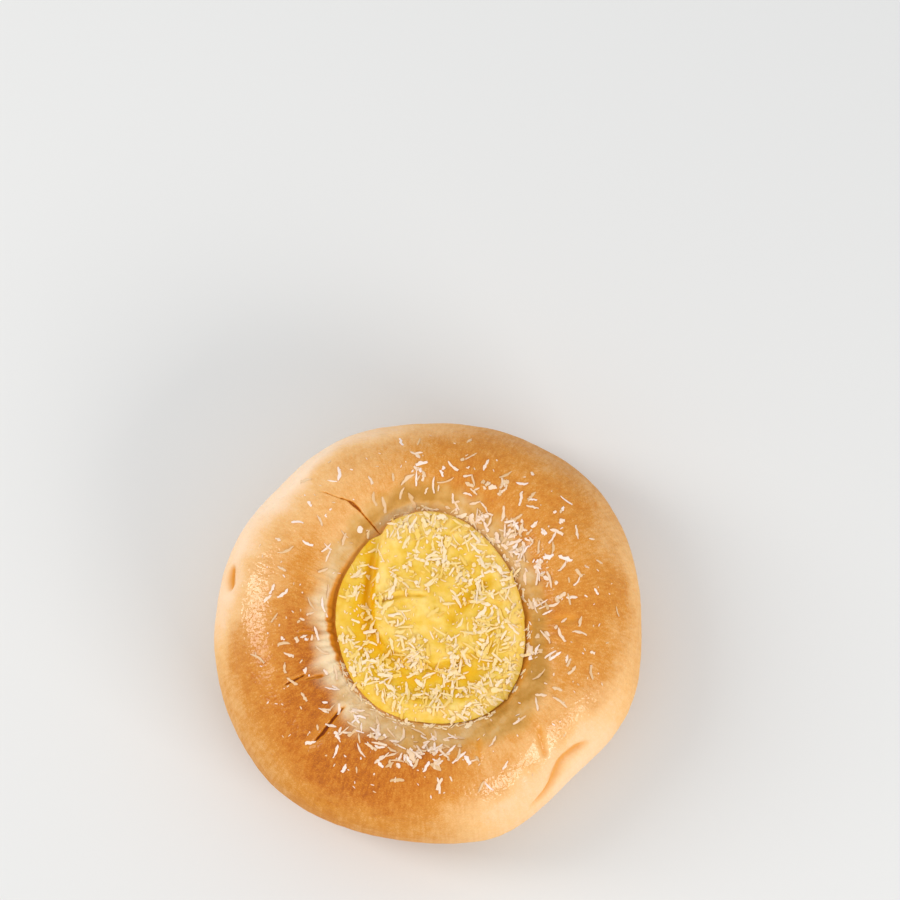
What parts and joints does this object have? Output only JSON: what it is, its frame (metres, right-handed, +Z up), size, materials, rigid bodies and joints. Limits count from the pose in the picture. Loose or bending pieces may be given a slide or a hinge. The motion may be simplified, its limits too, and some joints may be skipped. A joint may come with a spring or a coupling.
{
  "type": "coconut bun",
  "caption": "Round sweet bun with a flat base, a domed golden crust, a well filled with piped yellow custard, and shredded coconut over the top.",
  "frame": {"origin": "middle of the bounding box in plan, on the bun's flat base", "axes": "+Z up through the bun, the base flat on Z = 0; +Y towards the side that is at the top of the picture, +X towards its right side"},
  "size_m": [0.1058, 0.1044, 0.0382],
  "materials": {
    "crust": "golden-brown baked dough crust, satin, paler at the side and round the well",
    "custard": "smooth baked yellow custard with a soft sheen",
    "coconut": "dry cream-white shredded coconut"
  },
  "bodies": {
    "root": {"bun": "crust", "custard": "custard"}
  },
  "joints": []
}
